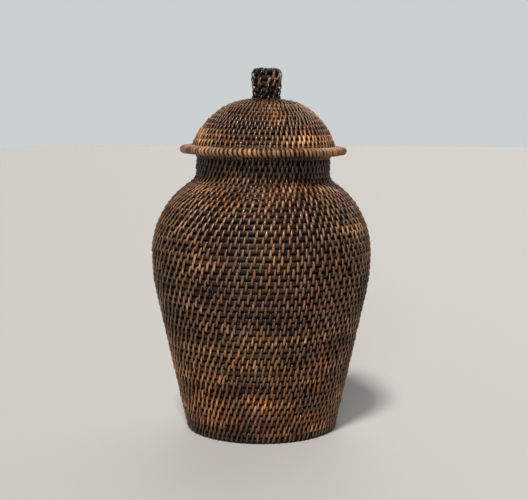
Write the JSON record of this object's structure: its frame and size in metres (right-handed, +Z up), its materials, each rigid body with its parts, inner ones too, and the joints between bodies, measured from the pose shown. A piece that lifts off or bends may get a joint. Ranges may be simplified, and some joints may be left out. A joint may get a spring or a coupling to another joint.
{
  "type": "lidded wicker basket",
  "caption": "Round-bellied jar of coiled rattan with a narrow neck and a domed lift-off lid that has a knob and a thick wrapped rim; stands on its foot and stores dry goods.",
  "frame": {"origin": "centre of the foot, on the surface that the jar stands on", "axes": "+Z up along the axis of the round jar and out through the knob; +X and +Y are level, and no side of the jar is its front"},
  "size_m": [0.2313, 0.2314, 0.3825],
  "materials": {
    "rattan_cane": "dark stained round cane, satin",
    "peel_binding": "brown stained rattan peel, satin to glossy",
    "rim_wrap": "lighter brown rattan peel, worn, satin"
  },
  "bodies": {
    "jar": {"belly_binding": "peel_binding", "belly_canes": "rattan_cane", "floor_binding": "peel_binding", "floor_canes": "rattan_cane", "foot_cane": "rattan_cane", "foot_wrap": "peel_binding", "lower_wall_binding": "peel_binding", "lower_wall_canes": "rattan_cane", "mouth_rim_cane": "rattan_cane", "mouth_rim_wrap": "peel_binding", "neck_binding": "peel_binding", "neck_canes": "rattan_cane", "shoulder_binding": "peel_binding", "shoulder_canes": "rattan_cane"},
    "lid": {"collar_binding": "peel_binding", "collar_canes": "rattan_cane", "crown_binding": "peel_binding", "crown_canes": "rattan_cane", "dome_shoulder_binding": "peel_binding", "dome_shoulder_canes": "rattan_cane", "dome_side_binding": "peel_binding", "dome_side_canes": "rattan_cane", "knob_binding": "peel_binding", "knob_canes": "rattan_cane", "knob_centre_peg": "rattan_cane", "lid_rim_canes": "rattan_cane", "lid_rim_wrap": "rim_wrap", "lid_seat_cane": "rattan_cane", "lid_seat_wrap": "peel_binding"}
  },
  "joints": [
    {"name": "lid_lift", "type": "slide", "parent": "jar", "child": "lid", "axis": [0, 0, 1], "range_m": [0, 0.12]}
  ]
}
